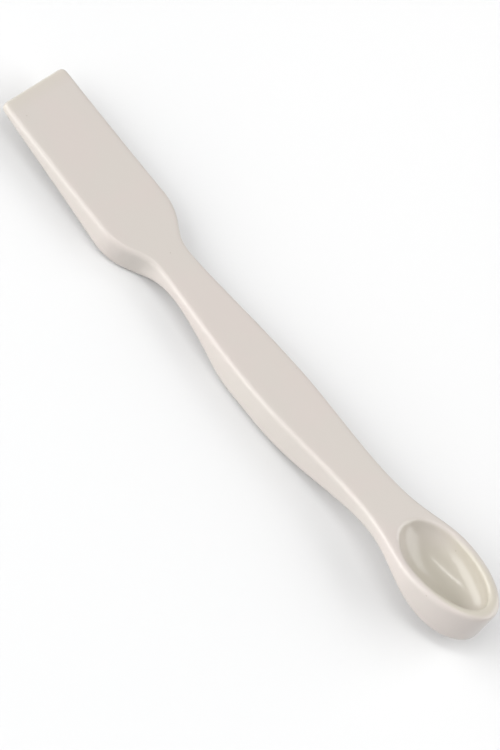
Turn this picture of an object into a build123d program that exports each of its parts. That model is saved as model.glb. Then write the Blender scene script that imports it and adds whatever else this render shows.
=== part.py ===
from build123d import *
import os
from math import atan, cos, radians, sin, sqrt

# Porcelain laboratory spatula, cast and glazed in one piece: a flat wedge blade, a waisted
# handle and a deep egg-shaped spoon. Millimetres, +X from the blade to the spoon, +Z up.
# The origin is on the bench, under the middle of the length.

# Length, and the stretches of the plan, from the blade's tip to the spoon's end
overall_length = 150.0
blade_run = 34.5
sweep_run = 7.8
neck_run = 6.0
taper_run = 9.3
swell_run = 11.3
bowl_run = 12.0
spoon_end_run = 16.5

# The handle takes what length is left, and its belly stands this far along it
belly_share = 0.565

# Widths of the plan where those stretches meet
tip_width = 19.2
blade_flare = 0.5
sweep_width = 14.6
neck_width = 9.85
taper_width = 10.9
belly_width = 13.9
waist_width = 11.45
swell_width = 13.4
bowl_width = 18.3
tip_corner_radius = 1.3

# Depths of the body under its hollow top face, at the middle of its width
tip_depth = 2.4
shoulder_depth = 6.15
heel_depth = 7.0
thin_depth = 4.25
rise_depth = 6.0
palm_depth = 8.35
waist_depth = 5.9
throat_depth = 5.15
cup_depth = 10.3
end_depth = 10.5
top_bow = 3.2

# How far along some of those depths lie behind the places of the plan
thin_lag = 2.2
rise_lag = 10.6
throat_lag = 15.0
cup_lag = 8.5

# Roundness of the underside across the tool, and the worn spots that it stands on
blade_crown_radius = 220.0
handle_crown_radius = 23.0
cup_crown_radius = 30.0
standing_spot_depth = 0.12

# Spoon hollow: its rim on the top face, and its deepest place, which leans to the end
side_wall = 2.2
end_wall = 3.6
hollow_back = 1.0
hollow_rear_run = 9.7
hollow_depth = 5.4
hollow_lean = 10.0

# Edges, as the glaze softens them, and the least flat wall between two of them
top_edge_radius = 0.95
under_edge_radius = 1.2
lip_radius = 0.8
edge_gap = 0.1

# How far the solids that trim the body stand past it, and the steps of the underside
clear = 5.0
under_steps = 24
quarter_turn = 90.0

# The blade widens a little from its tip to its shoulder
shoulder_width = tip_width + blade_flare

# Places along the tool, measured from the blade's tip
shoulder_place = blade_run
sweep_place = shoulder_place + sweep_run
neck_place = sweep_place + neck_run
taper_place = neck_place + taper_run
bowl_place = overall_length - spoon_end_run
swell_place = bowl_place - bowl_run
waist_place = swell_place - swell_run
belly_place = taper_place + belly_share * (waist_place - taper_place)
heel_place = sweep_place
thin_place = neck_place + thin_lag
rise_place = taper_place + rise_lag
palm_place = belly_place
throat_place = waist_place + throat_lag
cup_place = bowl_place + cup_lag
hollow_place = bowl_place - hollow_back


def along(place):
    """X of a place measured from the blade's tip."""
    return place - overall_length / 2


def sag(place):
    """How far the hollow top lies under a straight line from the tip to the spoon's end."""
    share = place / overall_length
    return 4 * top_bow * share * (1 - share)


# The tool stands on its heel and its palm, so their depths set how it leans
line_over_heel = heel_depth - standing_spot_depth + sag(heel_place)
line_over_palm = palm_depth - standing_spot_depth + sag(palm_place)
line_slope = (line_over_palm - line_over_heel) / (palm_place - heel_place)
line_at_tip = line_over_heel - line_slope * heel_place


def top_height(place):
    """Height of the top line above the bench."""
    return line_at_tip + line_slope * place - sag(place)


# Half width and upper end of the sections that shape the underside
section_half = max(shoulder_width, belly_width, bowl_width) / 2 + clear
section_top = max(top_height(0), top_height(overall_length)) + clear


def crown_rise(crown_radius, reach):
    """How far a crowned underside rises at this distance from the middle."""
    return crown_radius - sqrt(crown_radius**2 - reach**2)


def under_station(place, depth, crown_radius):
    """Guide point of the underside: X along the tool, Y its rise at the section's side, Z its height."""
    return (along(place), crown_rise(crown_radius, section_half), top_height(place) - depth)


def under_section(station):
    """Cross-section above the underside at a guide point, wider than the body, with a crowned foot."""
    side = station.Z + station.Y
    with BuildSketch(Plane.YZ.offset(station.X)) as section:
        with BuildLine():
            foot = ThreePointArc((-section_half, side), (0, station.Z), (section_half, side))
            Polyline(foot @ 1, (section_half, section_top), (-section_half, section_top), foot @ 0)
        make_face()
    return section.sketch


def leaning_half_axis(reach):
    """Half axis of the leaning hollow whose rim reaches this far along the top face."""
    lift = reach * sin(radians(hollow_lean)) / hollow_depth
    return reach * cos(radians(hollow_lean)) / sqrt(1 - lift**2)


# Plan of the top: blade, shoulder, neck, belly, waist and spoon, the same on both sides
with BuildSketch(Plane.XY.offset(-clear)) as plan:
    with BuildLine():
        tip_edge = Line((along(0), 0), (along(0), tip_width / 2))
        blade_edge = Line(tip_edge @ 1, (along(shoulder_place), shoulder_width / 2))
        shoulder_edge = Spline(
            blade_edge @ 1,
            (along(sweep_place), sweep_width / 2),
            (along(neck_place), neck_width / 2),
            tangents=(blade_edge % 1, (1, 0)),
        )
        handle_edge = Spline(
            shoulder_edge @ 1,
            (along(taper_place), taper_width / 2),
            (along(belly_place), belly_width / 2),
            (along(waist_place), waist_width / 2),
            (along(swell_place), swell_width / 2),
            (along(bowl_place), bowl_width / 2),
            tangents=((1, 0), (1, 0)),
        )
        EllipticalCenterArc((along(bowl_place), 0), spoon_end_run, bowl_width / 2, arc_size=quarter_turn)
        mirror(about=Plane.XZ)
    make_face()
    tip_corners = plan.vertices().group_by(Axis.X)[0]
    fillet(tip_corners, tip_corner_radius)

# Side view of the top: everything under a shallow curve that dips between the two ends
with BuildSketch(Plane.XZ.offset(-section_half)) as top_side:
    with BuildLine():
        top_line = Bezier(
            (along(0), top_height(0)),
            (0, top_height(overall_length / 2) - top_bow),
            (along(overall_length), top_height(overall_length)),
        )
        Polyline(
            top_line @ 1,
            (along(overall_length), -clear),
            (along(0), -clear),
            top_line @ 0,
        )
    make_face()

# Guide of the underside, in three stretches that meet level on the heel and on the palm
tip_station = under_station(0, tip_depth, blade_crown_radius)
shoulder_station = under_station(shoulder_place, shoulder_depth, blade_crown_radius)
heel_station = under_station(heel_place, heel_depth, blade_crown_radius)
palm_station = under_station(palm_place, palm_depth, handle_crown_radius)
cup_station = under_station(cup_place, cup_depth, cup_crown_radius)
end_station = under_station(overall_length, end_depth, cup_crown_radius)
level = Vector(1, 0, 0)
with BuildLine() as under_guide:
    Spline(
        tip_station,
        shoulder_station,
        heel_station,
        tangents=(Vector(shoulder_station) - Vector(tip_station), level),
    )
    Spline(
        heel_station,
        under_station(thin_place, thin_depth, handle_crown_radius),
        under_station(rise_place, rise_depth, handle_crown_radius),
        palm_station,
        tangents=(level, level),
    )
    Spline(
        palm_station,
        under_station(waist_place, waist_depth, handle_crown_radius),
        under_station(throat_place, throat_depth, handle_crown_radius),
        cup_station,
        end_station,
        tangents=(level, Vector(end_station) - Vector(cup_station)),
    )

# Everything above the underside, lofted through crowned sections at even steps of the guide
with BuildPart() as underside:
    for step in range(under_steps + 1):
        add(under_section(under_guide.line @ (step / under_steps)))
    loft()

# Frame of the hollow: on the top face at its widest place, leaning down to the spoon's end
face_slope = line_slope - 4 * top_bow * (1 - 2 * hollow_place / overall_length) / overall_length
pitch = atan(face_slope) - radians(hollow_lean)
hollow_frame = Plane(
    origin=(along(hollow_place), 0, top_height(hollow_place)),
    x_dir=(cos(pitch), 0, sin(pitch)),
    z_dir=(-sin(pitch), 0, cos(pitch)),
)

# Egg-shaped hollow: half of its outline turned about its long axis, then flattened to its depth
hollow_half_width = bowl_width / 2 - side_wall
front_half_axis = leaning_half_axis(overall_length - end_wall - hollow_place)
rear_half_axis = leaning_half_axis(hollow_rear_run)
with BuildPart() as hollow:
    with BuildSketch() as outline:
        with BuildLine():
            front = EllipticalCenterArc((0, 0), front_half_axis, hollow_half_width, arc_size=quarter_turn)
            rear = EllipticalCenterArc(
                (0, 0),
                rear_half_axis,
                hollow_half_width,
                start_angle=quarter_turn,
                arc_size=quarter_turn,
            )
            Line(rear @ 1, front @ 0)
        make_face()
    revolve(axis=Axis.X)
    scale(by=(1, 1, hollow_depth / hollow_half_width))

# The blade's tip has the thinnest wall, which limits the lower edges
tip_wall = tip_depth - crown_rise(blade_crown_radius, tip_width / 2)
under_radius = min(under_edge_radius, tip_wall - top_edge_radius - edge_gap)

with BuildPart() as spatula:
    add(plan.sketch)
    extrude(amount=section_top + clear)
    extrude(top_side.sketch, amount=2 * section_half, mode=Mode.INTERSECT)
    add(underside.part, mode=Mode.INTERSECT)
    top_face = spatula.faces().filter_by(GeomType.EXTRUSION).sort_by(SortBy.AREA)[-1]
    fillet(top_face.edges(), top_edge_radius)
    under_face = spatula.faces().filter_by(GeomType.BSPLINE).sort_by(SortBy.AREA)[-1]
    fillet(under_face.edges(), under_radius)
    add(hollow.part.moved(hollow_frame.location), mode=Mode.SUBTRACT)
    holed_face = spatula.faces().filter_by(GeomType.EXTRUSION).sort_by(SortBy.AREA)[-1]
    lip = holed_face.inner_wires()[0].edges()
    fillet(lip, lip_radius)
    split(bisect_by=Plane.XY, keep=Keep.TOP)

spatula.part.label = "spatula"
os.makedirs("parts", exist_ok=True)
export_step(spatula.part, "parts/spatula.step")
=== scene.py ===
"""Glazed porcelain laboratory spatula on a pale bench, seen from above its near side.

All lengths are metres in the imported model's frame: +X runs from the blade to the spoon, +Z is up
and the bench is at Z = 0.
"""

import logging
import math
from dataclasses import dataclass, field
from enum import Enum

import bpy
from mathutils import Matrix, Vector


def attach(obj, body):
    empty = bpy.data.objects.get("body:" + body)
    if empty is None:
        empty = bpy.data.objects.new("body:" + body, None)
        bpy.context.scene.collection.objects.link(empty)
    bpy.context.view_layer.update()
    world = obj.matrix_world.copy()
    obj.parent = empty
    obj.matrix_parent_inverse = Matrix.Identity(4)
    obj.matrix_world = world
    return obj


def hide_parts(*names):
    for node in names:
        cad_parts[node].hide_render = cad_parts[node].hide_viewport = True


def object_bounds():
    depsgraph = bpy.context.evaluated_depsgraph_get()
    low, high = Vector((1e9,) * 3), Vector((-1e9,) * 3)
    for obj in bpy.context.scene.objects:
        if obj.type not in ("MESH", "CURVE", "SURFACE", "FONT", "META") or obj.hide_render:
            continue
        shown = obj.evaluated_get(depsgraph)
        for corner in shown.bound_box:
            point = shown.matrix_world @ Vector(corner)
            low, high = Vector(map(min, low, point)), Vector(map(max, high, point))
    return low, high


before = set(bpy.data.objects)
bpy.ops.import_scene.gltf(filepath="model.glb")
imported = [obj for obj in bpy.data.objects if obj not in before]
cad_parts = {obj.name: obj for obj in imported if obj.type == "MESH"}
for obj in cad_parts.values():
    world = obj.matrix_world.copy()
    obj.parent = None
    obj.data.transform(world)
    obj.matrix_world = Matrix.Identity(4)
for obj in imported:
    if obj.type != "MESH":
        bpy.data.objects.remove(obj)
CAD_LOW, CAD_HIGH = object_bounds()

LOG = logging.getLogger("spatula_scene")
MM = 0.001

Tone = tuple[float, float, float, float]
Sockets = tuple[tuple[str, str], ...]
WHITE: Tone = (1.0, 1.0, 1.0, 1.0)

# Places of a colour mix's own sockets among all of its node's sockets
MIX_FIRST, MIX_SECOND, MIX_RESULT = 6, 7, 2


class LampRole(Enum):
    """What a lamp does for the picture."""

    KEY = "key_near_blade"
    CROSS = "cross_light_far_end"
    STREAK = "streak_above"


def add_node(tree: bpy.types.NodeTree, kind: str, **settings: object) -> bpy.types.Node:
    """Adds a node to a tree.

    Args:
        tree: The tree that gets the node.
        kind: The node's type name.
        **settings: Properties to set on the node.

    Returns:
        The new node.
    """
    node = tree.nodes.new(kind)
    for name, value in settings.items():
        setattr(node, name, value)
    return node


def feed(
    tree: bpy.types.NodeTree,
    target: bpy.types.NodeSocket,
    source: bpy.types.NodeSocket | float | Tone | Vector,
) -> None:
    """Gives an input its value.

    Args:
        tree: The tree that holds the input.
        target: The input.
        source: A socket to link to it, or a constant to set on it.
    """
    if isinstance(source, bpy.types.NodeSocket):
        tree.links.new(source, target)
    else:
        target.default_value = source


def add_range(
    tree: bpy.types.NodeTree,
    source: bpy.types.NodeSocket,
    start: float,
    end: float,
    low: float = 0.0,
    high: float = 1.0,
) -> bpy.types.NodeSocket:
    """Maps a value smoothly from one range to another.

    Args:
        tree: The tree that gets the node.
        source: The value to map.
        start: Value that gives the low result.
        end: Value that gives the high result.
        low: Result at the start.
        high: Result at the end.

    Returns:
        The mapped value's socket.
    """
    node = add_node(tree, "ShaderNodeMapRange", interpolation_type="SMOOTHSTEP")
    values = {"Value": source, "From Min": start, "From Max": end, "To Min": low, "To Max": high}
    for name, value in values.items():
        feed(tree, node.inputs[name], value)
    return node.outputs["Result"]


def add_math(
    tree: bpy.types.NodeTree,
    operation: str,
    first: bpy.types.NodeSocket,
    second: bpy.types.NodeSocket | float,
) -> bpy.types.NodeSocket:
    """Adds a calculation with two values.

    Args:
        tree: The tree that gets the node.
        operation: What is done with the values.
        first: The first value.
        second: The second value, a socket or a number.

    Returns:
        The result's socket.
    """
    node = add_node(tree, "ShaderNodeMath", operation=operation)
    feed(tree, node.inputs[0], first)
    feed(tree, node.inputs[1], second)
    return node.outputs["Value"]


def add_mix(
    tree: bpy.types.NodeTree,
    mask: bpy.types.NodeSocket,
    first: bpy.types.NodeSocket,
    second: bpy.types.NodeSocket | Tone,
) -> bpy.types.NodeSocket:
    """Mixes two colours by a mask.

    Args:
        tree: The tree that gets the node.
        mask: The mask.
        first: Colour where the mask is 0.
        second: Colour where the mask is 1, a socket or a tone.

    Returns:
        The mixed colour's socket.
    """
    node = add_node(tree, "ShaderNodeMix", data_type="RGBA")
    feed(tree, node.inputs["Factor"], mask)
    feed(tree, node.inputs[MIX_FIRST], first)
    feed(tree, node.inputs[MIX_SECOND], second)
    return node.outputs[MIX_RESULT]


@dataclass(frozen=True)
class EffectGroup:
    """A shader node group with named inputs and outputs, made once and placed in many materials."""

    name: str
    inputs: Sockets
    outputs: Sockets

    def wire(self, group: bpy.types.NodeTree, inlet: bpy.types.Node, outlet: bpy.types.Node) -> None:
        """Adds the nodes between the group's inputs and outputs.

        Args:
            group: The group's tree.
            inlet: Node that holds the inputs.
            outlet: Node that holds the outputs.
        """
        raise NotImplementedError

    def tree(self) -> bpy.types.NodeTree:
        """Makes the group on first use.

        Returns:
            The group's tree.
        """
        if self.name in bpy.data.node_groups:
            return bpy.data.node_groups[self.name]
        group = bpy.data.node_groups.new(self.name, "ShaderNodeTree")
        for way, sockets in (("INPUT", self.inputs), ("OUTPUT", self.outputs)):
            for name, kind in sockets:
                group.interface.new_socket(name, in_out=way, socket_type=kind)
        self.wire(group, add_node(group, "NodeGroupInput"), add_node(group, "NodeGroupOutput"))
        return group

    def place(self, tree: bpy.types.NodeTree, **values: object) -> bpy.types.Node:
        """Places the group in a material.

        Args:
            tree: The material's tree.
            **values: A socket or constant for each input, with _ for the spaces of its name.

        Returns:
            The group's node.
        """
        node = add_node(tree, "ShaderNodeGroup", node_tree=self.tree())
        for name, value in values.items():
            feed(tree, node.inputs[name.replace("_", " ")], value)
        return node


@dataclass(frozen=True)
class MottleGroup(EffectGroup):
    """A faint cloudy change of tone, as fired glaze and rolled paint have."""

    name: str = "cloudy_mottle"
    inputs: Sockets = (
        ("Position", "NodeSocketVector"),
        ("Tone", "NodeSocketColor"),
        ("Cloud Tone", "NodeSocketColor"),
        ("Scale", "NodeSocketFloat"),
    )
    outputs: Sockets = (("Color", "NodeSocketColor"),)
    detail: float = 3.0
    contrast_start: float = 0.38
    contrast_end: float = 0.62

    def wire(self, group: bpy.types.NodeTree, inlet: bpy.types.Node, outlet: bpy.types.Node) -> None:
        """Adds the nodes between the group's inputs and outputs.

        Args:
            group: The group's tree.
            inlet: Node that holds the inputs.
            outlet: Node that holds the outputs.
        """
        noise = add_node(group, "ShaderNodeTexNoise")
        feed(group, noise.inputs["Vector"], inlet.outputs["Position"])
        feed(group, noise.inputs["Scale"], inlet.outputs["Scale"])
        feed(group, noise.inputs["Detail"], self.detail)
        cloud = add_range(group, noise.outputs["Fac"], self.contrast_start, self.contrast_end)
        colour = add_mix(group, cloud, inlet.outputs["Tone"], inlet.outputs["Cloud Tone"])
        feed(group, outlet.inputs["Color"], colour)


@dataclass(frozen=True)
class SpeckGroup(EffectGroup):
    """A mask of small sparse specks, as pinholes in a glaze."""

    name: str = "sparse_specks"
    inputs: Sockets = (
        ("Position", "NodeSocketVector"),
        ("Scale", "NodeSocketFloat"),
        ("Share", "NodeSocketFloat"),
    )
    outputs: Sockets = (("Specks", "NodeSocketFloat"),)
    size: float = 0.12

    def wire(self, group: bpy.types.NodeTree, inlet: bpy.types.Node, outlet: bpy.types.Node) -> None:
        """Adds the nodes between the group's inputs and outputs.

        Args:
            group: The group's tree.
            inlet: Node that holds the inputs.
            outlet: Node that holds the outputs.
        """
        cells = add_node(group, "ShaderNodeTexVoronoi")
        feed(group, cells.inputs["Vector"], inlet.outputs["Position"])
        feed(group, cells.inputs["Scale"], inlet.outputs["Scale"])
        dots = add_range(group, cells.outputs["Distance"], self.size, 0.0)
        channels = add_node(group, "ShaderNodeSeparateColor")
        feed(group, channels.inputs["Color"], cells.outputs["Color"])
        chosen = add_math(group, "LESS_THAN", channels.outputs["Red"], inlet.outputs["Share"])
        feed(group, outlet.inputs["Specks"], add_math(group, "MULTIPLY", dots, chosen))


@dataclass(frozen=True)
class PorcelainGlaze:
    """Clear glossy glaze over warm-white porcelain, a little yellower where it pools, and darker in the
    spoon's hollow as painted shade.
    """

    tone: Tone = (0.504, 0.458, 0.428, 1.0)
    cloud_tone: Tone = (0.498, 0.462, 0.428, 1.0)
    # pooled tone: yellower where glaze pools, and darker as painted shade in the spoon's hollow
    pooled_and_shaded_tone: Tone = (0.470, 0.437, 0.374, 1.0)
    speck_tone: Tone = (0.28, 0.23, 0.18, 1.0)
    worn_tone: Tone = (0.42, 0.402, 0.382, 1.0)
    roughness: float = 0.32
    worn_roughness: float = 0.62
    specular: float = 0.25
    coat: float = 0.55
    worn_coat: float = 0.1
    coat_roughness: float = 0.13
    cloud_scale: float = 75.0
    speck_scale: float = 700.0
    speck_share: float = 0.03
    wave_scale: float = 130.0
    wave_detail: float = 2.0
    wave_height: float = 0.05 * MM
    hollow_place: Vector = field(default_factory=lambda: Vector((60.6, 0.0, 13.2)) * MM)
    hollow_half: Vector = field(default_factory=lambda: Vector((13.7, 7.7, 7.6)) * MM)
    hollow_fade: tuple[float, float] = (1.06, 0.92)
    tip_pool_end: float = -70.5 * MM
    tip_pool_share: float = 0.5
    worn_height: float = 0.22 * MM

    def pool_and_hollow_shade_mask(
        self, tree: bpy.types.NodeTree, position: bpy.types.NodeSocket, along: bpy.types.NodeSocket
    ) -> bpy.types.NodeSocket:
        """Adds the mask of the places where glaze pools, the spoon's hollow and the blade's tip; in the
        hollow it also lays painted shade.

        Args:
            tree: The material's tree.
            position: Place on the tool.
            along: X of that place.

        Returns:
            The mask's socket.
        """
        hollow = add_node(tree, "ShaderNodeMapping", vector_type="TEXTURE")
        feed(tree, hollow.inputs["Vector"], position)
        feed(tree, hollow.inputs["Location"], self.hollow_place)
        feed(tree, hollow.inputs["Scale"], self.hollow_half)
        reach = add_node(tree, "ShaderNodeVectorMath", operation="LENGTH")
        feed(tree, reach.inputs[0], hollow.outputs["Vector"])
        in_hollow = add_range(tree, reach.outputs["Value"], *self.hollow_fade)
        at_tip = add_range(tree, along, self.tip_pool_end, CAD_LOW.x, high=self.tip_pool_share)
        return add_math(tree, "MAXIMUM", in_hollow, at_tip)

    def waves(self, tree: bpy.types.NodeTree, position: bpy.types.NodeSocket) -> bpy.types.NodeSocket:
        """Adds the faint waviness of a fired glaze.

        Args:
            tree: The material's tree.
            position: Place on the tool.

        Returns:
            The normal's socket.
        """
        wave = add_node(tree, "ShaderNodeTexNoise")
        feed(tree, wave.inputs["Vector"], position)
        feed(tree, wave.inputs["Scale"], self.wave_scale)
        feed(tree, wave.inputs["Detail"], self.wave_detail)
        bump = add_node(tree, "ShaderNodeBump")
        feed(tree, bump.inputs["Distance"], self.wave_height)
        feed(tree, bump.inputs["Height"], wave.outputs["Fac"])
        return bump.outputs["Normal"]

    def mix(self) -> bpy.types.Material:
        """Makes the material.

        Returns:
            The glaze's material.
        """
        material = bpy.data.materials.new("porcelain_glaze")
        material.use_nodes = True
        tree = material.node_tree
        position = add_node(tree, "ShaderNodeTexCoord").outputs["Object"]
        axes = add_node(tree, "ShaderNodeSeparateXYZ")
        feed(tree, axes.inputs["Vector"], position)
        mottle = MottleGroup().place(
            tree, Position=position, Tone=self.tone, Cloud_Tone=self.cloud_tone, Scale=self.cloud_scale
        )
        specks = SpeckGroup().place(
            tree, Position=position, Scale=self.speck_scale, Share=self.speck_share
        )
        # Painted shade: this mask darkens the spoon's hollow and also gives the yellower pooled glaze in
        # the hollow and at the tip
        pool_and_shade = self.pool_and_hollow_shade_mask(tree, position, axes.outputs["X"])
        worn = add_range(tree, axes.outputs["Z"], self.worn_height, 0.0)
        colour = add_mix(tree, pool_and_shade, mottle.outputs["Color"], self.pooled_and_shaded_tone)
        colour = add_mix(tree, specks.outputs["Specks"], colour, self.speck_tone)
        colour = add_mix(tree, worn, colour, self.worn_tone)
        normal = self.waves(tree, position)
        finish = {
            "Base Color": colour,
            "Roughness": add_range(tree, worn, 0.0, 1.0, self.roughness, self.worn_roughness),
            "Coat Weight": add_range(tree, worn, 0.0, 1.0, self.coat, self.worn_coat),
            "Coat Roughness": self.coat_roughness,
            "Specular IOR Level": self.specular,
            "Normal": normal,
            "Coat Normal": normal,
        }
        for name, value in finish.items():
            feed(tree, tree.nodes["Principled BSDF"].inputs[name], value)
        return material


@dataclass(frozen=True)
class BenchPaint:
    """Matt white bench top with a faint cloudiness."""

    tone: Tone = (0.70, 0.70, 0.70, 1.0)
    cloud_tone: Tone = (0.69, 0.692, 0.693, 1.0)
    cloud_scale: float = 5.0
    roughness: float = 0.9
    specular: float = 0.1

    def mix(self) -> bpy.types.Material:
        """Makes the material.

        Returns:
            The bench top's material.
        """
        material = bpy.data.materials.new("white_bench")
        material.use_nodes = True
        tree = material.node_tree
        position = add_node(tree, "ShaderNodeTexCoord").outputs["Object"]
        mottle = MottleGroup().place(
            tree, Position=position, Tone=self.tone, Cloud_Tone=self.cloud_tone, Scale=self.cloud_scale
        )
        finish = {
            "Base Color": mottle.outputs["Color"],
            "Roughness": self.roughness,
            "Specular IOR Level": self.specular,
        }
        for name, value in finish.items():
            feed(tree, tree.nodes["Principled BSDF"].inputs[name], value)
        return material


@dataclass
class PorcelainBody:
    """The whole tool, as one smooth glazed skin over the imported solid's shape."""

    node: str = "spatula"
    merge_distance: float = 0.001 * MM
    voxel: float = 0.3 * MM
    smoothing: float = 0.5
    smoothing_steps: int = 12
    glaze: PorcelainGlaze = field(default_factory=PorcelainGlaze)

    def model(self) -> bpy.types.Object:
        """Models the skin: a copy of the solid's mesh, merged, remeshed evenly and softened.

        Returns:
            The skin.
        """
        skin = bpy.data.objects.new("glazed_spatula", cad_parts[self.node].data.copy())
        bpy.context.scene.collection.objects.link(skin)
        bpy.ops.object.select_all(action="DESELECT")
        skin.select_set(True)
        bpy.context.view_layer.objects.active = skin
        bpy.ops.object.mode_set(mode="EDIT")
        bpy.ops.mesh.select_all(action="SELECT")
        bpy.ops.mesh.remove_doubles(threshold=self.merge_distance)
        bpy.ops.object.mode_set(mode="OBJECT")
        remesh = skin.modifiers.new("even_skin", "REMESH")
        remesh.mode = "VOXEL"
        remesh.voxel_size = self.voxel
        bpy.ops.object.modifier_apply(modifier=remesh.name)
        smooth = skin.modifiers.new("glaze_softening", "SMOOTH")
        smooth.factor = self.smoothing
        smooth.iterations = self.smoothing_steps
        bpy.ops.object.modifier_apply(modifier=smooth.name)
        bpy.ops.object.shade_smooth()
        return skin

    def build(self) -> bpy.types.Object:
        """Models the skin, dresses it and puts it in the solid's place.

        Returns:
            The finished piece.
        """
        skin = self.model()
        skin.data.materials.clear()
        skin.data.materials.append(self.glaze.mix())
        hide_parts(self.node)
        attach(skin, "root")
        return skin


@dataclass(frozen=True)
class SoftLamp:
    """A rectangular soft box that looks at the tool from one side."""

    role: LampRole
    towards: Vector
    distance: float
    width: float
    height: float
    radiance: float

    def hang(self) -> bpy.types.Object:
        """Adds the lamp and turns it to the tool.

        Returns:
            The lamp's object.
        """
        place = self.towards.normalized() * self.distance
        bpy.ops.object.light_add(type="AREA", location=place)
        lamp = bpy.context.object
        lamp.name = self.role.value
        lamp.data.shape = "RECTANGLE"
        lamp.data.size = self.width
        lamp.data.size_y = self.height
        lamp.data.energy = self.radiance * math.pi * self.width * self.height
        lamp.rotation_euler = (-place).to_track_quat("-Z", "Y").to_euler()
        return lamp


@dataclass(frozen=True)
class AirGlow:
    """Soft light of the room's air that is strongest one way along an axis."""

    axis: str
    sign: float
    sharpness: float
    strength: float

    def add(self, tree: bpy.types.NodeTree, axes: bpy.types.Node) -> bpy.types.NodeSocket:
        """Adds the glow to the room's tree.

        Args:
            tree: The room's tree.
            axes: Node that splits a direction into its axes.

        Returns:
            The glow's socket.
        """
        towards = add_math(tree, "MULTIPLY", axes.outputs[self.axis], self.sign)
        towards = add_math(tree, "MAXIMUM", towards, 0.0)
        return add_math(tree, "MULTIPLY", add_math(tree, "POWER", towards, self.sharpness), self.strength)


@dataclass
class Studio:
    """The bench, the lamps and the camera."""

    bench_size: float = 8.0
    azimuth: float = 11.40
    elevation: float = 51.79
    roll: float = -41.63
    distance: float = 1.4968
    lens: float = 341.5
    clip: tuple[float, float] = (0.1, 20.0)
    aim: Vector = field(default_factory=lambda: Vector((2.81, -4.78, 7.85)) * MM)
    lamps: tuple[SoftLamp, ...] = (
        SoftLamp(
            LampRole.KEY,
            towards=Vector((-0.60, -0.68, 0.41)),
            distance=1.6,
            width=2.2,
            height=1.4,
            radiance=3.95,
        ),
        SoftLamp(
            LampRole.CROSS,
            towards=Vector((0.56, 0.66, 0.50)),
            distance=1.6,
            width=2.0,
            height=1.5,
            radiance=3.0,
        ),
        SoftLamp(
            LampRole.STREAK,
            towards=Vector((-0.12, -0.10, 0.98)),
            distance=1.3,
            width=0.13,
            height=0.9,
            radiance=9.0,
        ),
    )
    glows: tuple[AirGlow, ...] = (
        AirGlow("X", sign=-1.0, sharpness=1.0, strength=0.36),
        AirGlow("Y", sign=-1.0, sharpness=1.0, strength=0.78),
        AirGlow("Z", sign=1.0, sharpness=2.0, strength=0.34),
    )

    def build_bench(self) -> bpy.types.Object:
        """Lays the bench top under the tool.

        Returns:
            The bench top's object.
        """
        bpy.ops.mesh.primitive_plane_add(size=self.bench_size, location=(0, 0, 0))
        bench = bpy.context.object
        bench.name = "bench_top"
        bench.data.materials.append(BenchPaint().mix())
        return bench

    def build_air(self) -> bpy.types.World:
        """Fills the room with dim light from above, from the near side and from the blade's side.

        Returns:
            The room's world.
        """
        world = bpy.data.worlds.new("studio_air")
        world.use_nodes = True
        tree = world.node_tree
        axes = add_node(tree, "ShaderNodeSeparateXYZ")
        feed(tree, axes.inputs["Vector"], add_node(tree, "ShaderNodeTexCoord").outputs["Generated"])
        first, *others = [glow.add(tree, axes) for glow in self.glows]
        strength = first
        for glow in others:
            strength = add_math(tree, "ADD", strength, glow)
        feed(tree, tree.nodes["Background"].inputs["Strength"], strength)
        feed(tree, tree.nodes["Background"].inputs["Color"], WHITE)
        bpy.context.scene.world = world
        return world

    def build_camera(self) -> bpy.types.Object:
        """Places the camera by its azimuth, elevation and roll about the point it aims at.

        Returns:
            The camera's object.
        """
        turn, tilt = math.radians(self.azimuth), math.radians(self.elevation)
        back = Vector((math.sin(turn) * math.cos(tilt), -math.cos(turn) * math.cos(tilt), math.sin(tilt)))
        data = bpy.data.cameras.new("view_camera")
        data.lens = self.lens
        data.clip_start, data.clip_end = self.clip
        camera = bpy.data.objects.new("view_camera", data)
        bpy.context.scene.collection.objects.link(camera)
        upright = (-back).to_track_quat("-Z", "Y")
        rolled = upright.to_matrix().to_4x4() @ Matrix.Rotation(math.radians(-self.roll), 4, "Z")
        camera.matrix_world = Matrix.Translation(self.aim + back * self.distance) @ rolled
        bpy.context.scene.camera = camera
        bpy.context.scene.view_settings.view_transform = "Standard"
        return camera

    def build(self) -> None:
        """Builds the whole studio."""
        self.build_bench()
        for lamp in self.lamps:
            lamp.hang()
        self.build_air()
        self.build_camera()


def main() -> None:
    """Builds the tool, then the studio round it."""
    logging.basicConfig(level=logging.INFO, format="%(name)s: %(message)s")
    skin = PorcelainBody().build()
    LOG.info("%s has %d faces", skin.name, len(skin.data.polygons))
    Studio().build()


if __name__ == "__main__":
    main()
